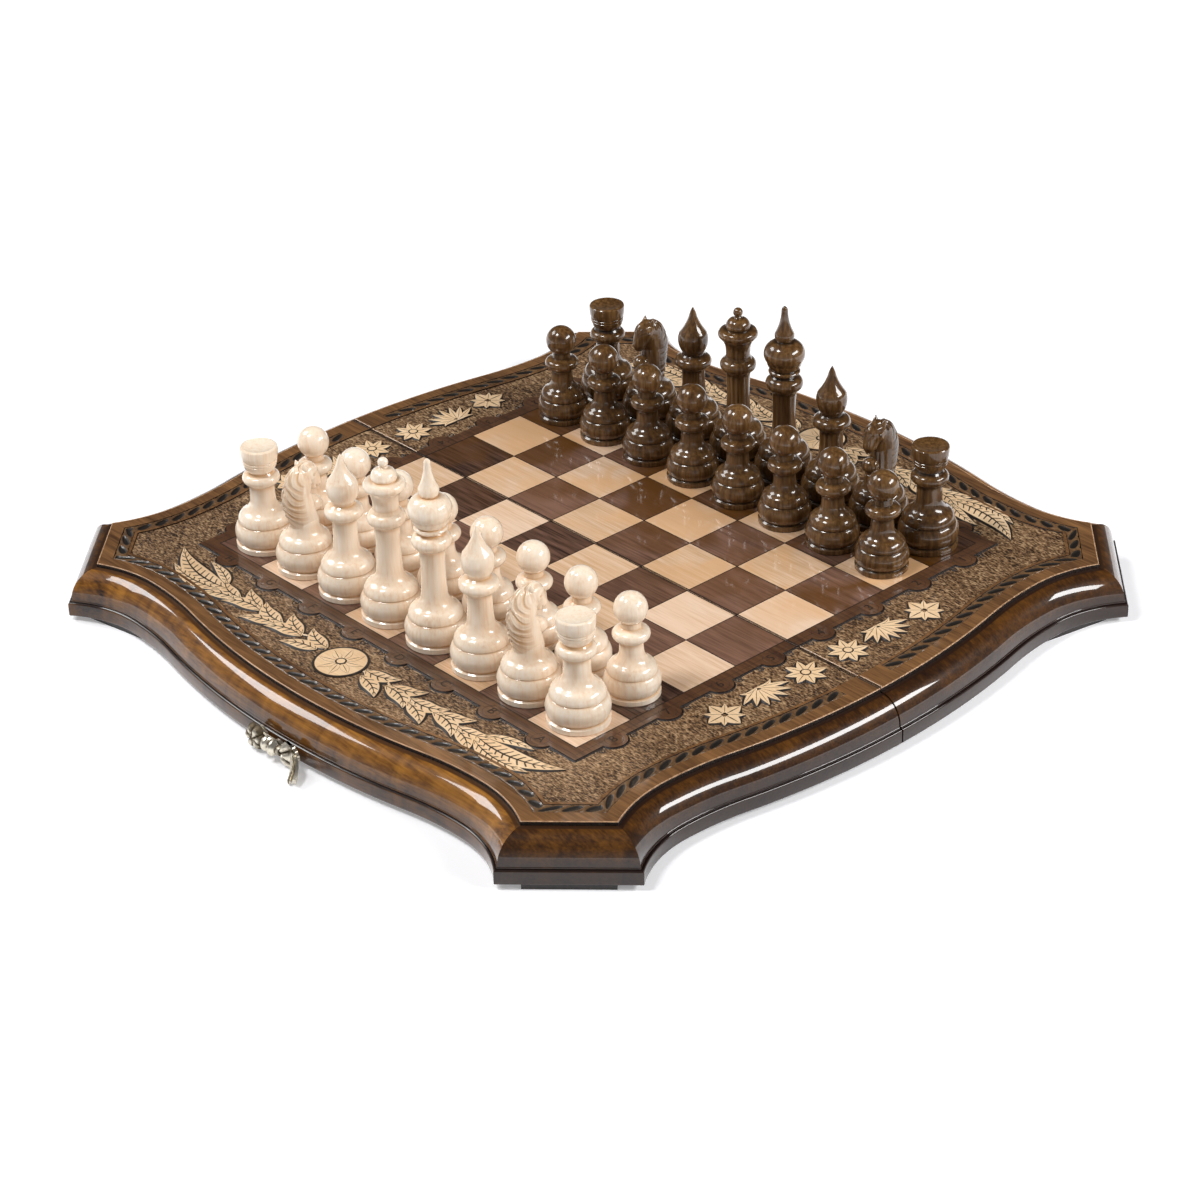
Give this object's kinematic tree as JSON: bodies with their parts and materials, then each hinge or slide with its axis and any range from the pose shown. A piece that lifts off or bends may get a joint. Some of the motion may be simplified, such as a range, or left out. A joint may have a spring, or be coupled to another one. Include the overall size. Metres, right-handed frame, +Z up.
{
  "type": "folding chess and backgammon board",
  "caption": "Folding game board with serpentine carved edge, inlaid chess field above, backgammon wells inside, side clasp and turned chessmen.",
  "frame": {"origin": "middle of the open board's plan, on the table plane under its feet", "axes": "+X along the hinge seam, +Y from the light half with the clasp to the dark half, +Z up"},
  "size_m": [0.5, 0.519, 0.1475],
  "materials": {
    "rail_wood": "glossy dark brown lacquer with amber patches and fine grain",
    "carved_ground": "stippled brown ground with worn gold",
    "pale_inlay": "satin pale maple veneer",
    "brown_inlay": "satin walnut veneer with fine grain",
    "feet_wood": "matt near-black stain",
    "light_men": "glossy ivory lacquer",
    "dark_men": "glossy dark brown lacquer over grain",
    "hinge_brass": "worn brass",
    "clasp_metal": "antiqued pewter-grey brass"
  },
  "bodies": {
    "light_half": {"light_half_brown_points": "brown_inlay", "light_half_brown_squares": "brown_inlay", "light_half_corner_blocks": "rail_wood", "light_half_deck": "carved_ground", "light_half_end_rail": "rail_wood", "light_half_feet": "feet_wood", "light_half_hinge_leaves": "hinge_brass", "light_half_hinge_rail": "rail_wood", "light_half_left_rail": "rail_wood", "light_half_pale_points": "pale_inlay", "light_half_pale_squares": "pale_inlay", "light_half_right_rail": "rail_wood", "hinge_pins": "hinge_brass", "clasp_plate": "clasp_metal"},
    "dark_half": {"dark_half_brown_points": "brown_inlay", "dark_half_brown_squares": "brown_inlay", "dark_half_corner_blocks": "rail_wood", "dark_half_deck": "carved_ground", "dark_half_end_rail": "rail_wood", "dark_half_feet": "feet_wood", "dark_half_hinge_leaves": "hinge_brass", "dark_half_hinge_rail": "rail_wood", "dark_half_left_rail": "rail_wood", "dark_half_pale_points": "pale_inlay", "dark_half_pale_squares": "pale_inlay", "dark_half_right_rail": "rail_wood", "clasp_keeper": "clasp_metal"},
    "clasp_arm_body": {"clasp_arm": "clasp_metal"},
    "man_dark_bishop_1": {"dark_bishop_1": "dark_men"},
    "man_dark_bishop_2": {"dark_bishop_2": "dark_men"},
    "man_dark_king": {"dark_king": "dark_men"},
    "man_dark_knight_1": {"dark_knight_1": "dark_men"},
    "man_dark_knight_2": {"dark_knight_2": "dark_men"},
    "man_dark_pawn_1": {"dark_pawn_1": "dark_men"},
    "man_dark_pawn_2": {"dark_pawn_2": "dark_men"},
    "man_dark_pawn_3": {"dark_pawn_3": "dark_men"},
    "man_dark_pawn_4": {"dark_pawn_4": "dark_men"},
    "man_dark_pawn_5": {"dark_pawn_5": "dark_men"},
    "man_dark_pawn_6": {"dark_pawn_6": "dark_men"},
    "man_dark_pawn_7": {"dark_pawn_7": "dark_men"},
    "man_dark_pawn_8": {"dark_pawn_8": "dark_men"},
    "man_dark_queen": {"dark_queen": "dark_men"},
    "man_dark_rook_1": {"dark_rook_1": "dark_men"},
    "man_dark_rook_2": {"dark_rook_2": "dark_men"},
    "man_light_bishop_1": {"light_bishop_1": "light_men"},
    "man_light_bishop_2": {"light_bishop_2": "light_men"},
    "man_light_king": {"light_king": "light_men"},
    "man_light_knight_1": {"light_knight_1": "light_men"},
    "man_light_knight_2": {"light_knight_2": "light_men"},
    "man_light_pawn_1": {"light_pawn_1": "light_men"},
    "man_light_pawn_2": {"light_pawn_2": "light_men"},
    "man_light_pawn_3": {"light_pawn_3": "light_men"},
    "man_light_pawn_4": {"light_pawn_4": "light_men"},
    "man_light_pawn_5": {"light_pawn_5": "light_men"},
    "man_light_pawn_6": {"light_pawn_6": "light_men"},
    "man_light_pawn_7": {"light_pawn_7": "light_men"},
    "man_light_pawn_8": {"light_pawn_8": "light_men"},
    "man_light_queen": {"light_queen": "light_men"},
    "man_light_rook_1": {"light_rook_1": "light_men"},
    "man_light_rook_2": {"light_rook_2": "light_men"}
  },
  "joints": [
    {"name": "board_fold", "type": "hinge", "parent": "light_half", "child": "dark_half", "pos_m": [0, 0, 0.00135], "axis": [-1, 0, 0], "range_deg": [0, 180]},
    {"name": "clasp_swing", "type": "hinge", "parent": "light_half", "child": "clasp_arm_body", "pos_m": [-0.001, -0.252, 0.0085], "axis": [0, 1, 0], "range_deg": [0, 45]},
    {"name": "lift_dark_bishop_1", "type": "slide", "parent": "dark_half", "child": "man_dark_bishop_1", "axis": [0, 0, 1], "range_m": [0, 0.13]},
    {"name": "lift_dark_bishop_2", "type": "slide", "parent": "dark_half", "child": "man_dark_bishop_2", "axis": [0, 0, 1], "range_m": [0, 0.13]},
    {"name": "lift_dark_king", "type": "slide", "parent": "dark_half", "child": "man_dark_king", "axis": [0, 0, 1], "range_m": [0, 0.13]},
    {"name": "lift_dark_knight_1", "type": "slide", "parent": "dark_half", "child": "man_dark_knight_1", "axis": [0, 0, 1], "range_m": [0, 0.13]},
    {"name": "lift_dark_knight_2", "type": "slide", "parent": "dark_half", "child": "man_dark_knight_2", "axis": [0, 0, 1], "range_m": [0, 0.13]},
    {"name": "lift_dark_pawn_1", "type": "slide", "parent": "dark_half", "child": "man_dark_pawn_1", "axis": [0, 0, 1], "range_m": [0, 0.13]},
    {"name": "lift_dark_pawn_2", "type": "slide", "parent": "dark_half", "child": "man_dark_pawn_2", "axis": [0, 0, 1], "range_m": [0, 0.13]},
    {"name": "lift_dark_pawn_3", "type": "slide", "parent": "dark_half", "child": "man_dark_pawn_3", "axis": [0, 0, 1], "range_m": [0, 0.13]},
    {"name": "lift_dark_pawn_4", "type": "slide", "parent": "dark_half", "child": "man_dark_pawn_4", "axis": [0, 0, 1], "range_m": [0, 0.13]},
    {"name": "lift_dark_pawn_5", "type": "slide", "parent": "dark_half", "child": "man_dark_pawn_5", "axis": [0, 0, 1], "range_m": [0, 0.13]},
    {"name": "lift_dark_pawn_6", "type": "slide", "parent": "dark_half", "child": "man_dark_pawn_6", "axis": [0, 0, 1], "range_m": [0, 0.13]},
    {"name": "lift_dark_pawn_7", "type": "slide", "parent": "dark_half", "child": "man_dark_pawn_7", "axis": [0, 0, 1], "range_m": [0, 0.13]},
    {"name": "lift_dark_pawn_8", "type": "slide", "parent": "dark_half", "child": "man_dark_pawn_8", "axis": [0, 0, 1], "range_m": [0, 0.13]},
    {"name": "lift_dark_queen", "type": "slide", "parent": "dark_half", "child": "man_dark_queen", "axis": [0, 0, 1], "range_m": [0, 0.13]},
    {"name": "lift_dark_rook_1", "type": "slide", "parent": "dark_half", "child": "man_dark_rook_1", "axis": [0, 0, 1], "range_m": [0, 0.13]},
    {"name": "lift_dark_rook_2", "type": "slide", "parent": "dark_half", "child": "man_dark_rook_2", "axis": [0, 0, 1], "range_m": [0, 0.13]},
    {"name": "lift_light_bishop_1", "type": "slide", "parent": "light_half", "child": "man_light_bishop_1", "axis": [0, 0, 1], "range_m": [0, 0.13]},
    {"name": "lift_light_bishop_2", "type": "slide", "parent": "light_half", "child": "man_light_bishop_2", "axis": [0, 0, 1], "range_m": [0, 0.13]},
    {"name": "lift_light_king", "type": "slide", "parent": "light_half", "child": "man_light_king", "axis": [0, 0, 1], "range_m": [0, 0.13]},
    {"name": "lift_light_knight_1", "type": "slide", "parent": "light_half", "child": "man_light_knight_1", "axis": [0, 0, 1], "range_m": [0, 0.13]},
    {"name": "lift_light_knight_2", "type": "slide", "parent": "light_half", "child": "man_light_knight_2", "axis": [0, 0, 1], "range_m": [0, 0.13]},
    {"name": "lift_light_pawn_1", "type": "slide", "parent": "light_half", "child": "man_light_pawn_1", "axis": [0, 0, 1], "range_m": [0, 0.13]},
    {"name": "lift_light_pawn_2", "type": "slide", "parent": "light_half", "child": "man_light_pawn_2", "axis": [0, 0, 1], "range_m": [0, 0.13]},
    {"name": "lift_light_pawn_3", "type": "slide", "parent": "light_half", "child": "man_light_pawn_3", "axis": [0, 0, 1], "range_m": [0, 0.13]},
    {"name": "lift_light_pawn_4", "type": "slide", "parent": "light_half", "child": "man_light_pawn_4", "axis": [0, 0, 1], "range_m": [0, 0.13]},
    {"name": "lift_light_pawn_5", "type": "slide", "parent": "light_half", "child": "man_light_pawn_5", "axis": [0, 0, 1], "range_m": [0, 0.13]},
    {"name": "lift_light_pawn_6", "type": "slide", "parent": "light_half", "child": "man_light_pawn_6", "axis": [0, 0, 1], "range_m": [0, 0.13]},
    {"name": "lift_light_pawn_7", "type": "slide", "parent": "light_half", "child": "man_light_pawn_7", "axis": [0, 0, 1], "range_m": [0, 0.13]},
    {"name": "lift_light_pawn_8", "type": "slide", "parent": "light_half", "child": "man_light_pawn_8", "axis": [0, 0, 1], "range_m": [0, 0.13]},
    {"name": "lift_light_queen", "type": "slide", "parent": "light_half", "child": "man_light_queen", "axis": [0, 0, 1], "range_m": [0, 0.13]},
    {"name": "lift_light_rook_1", "type": "slide", "parent": "light_half", "child": "man_light_rook_1", "axis": [0, 0, 1], "range_m": [0, 0.13]},
    {"name": "lift_light_rook_2", "type": "slide", "parent": "light_half", "child": "man_light_rook_2", "axis": [0, 0, 1], "range_m": [0, 0.13]}
  ]
}
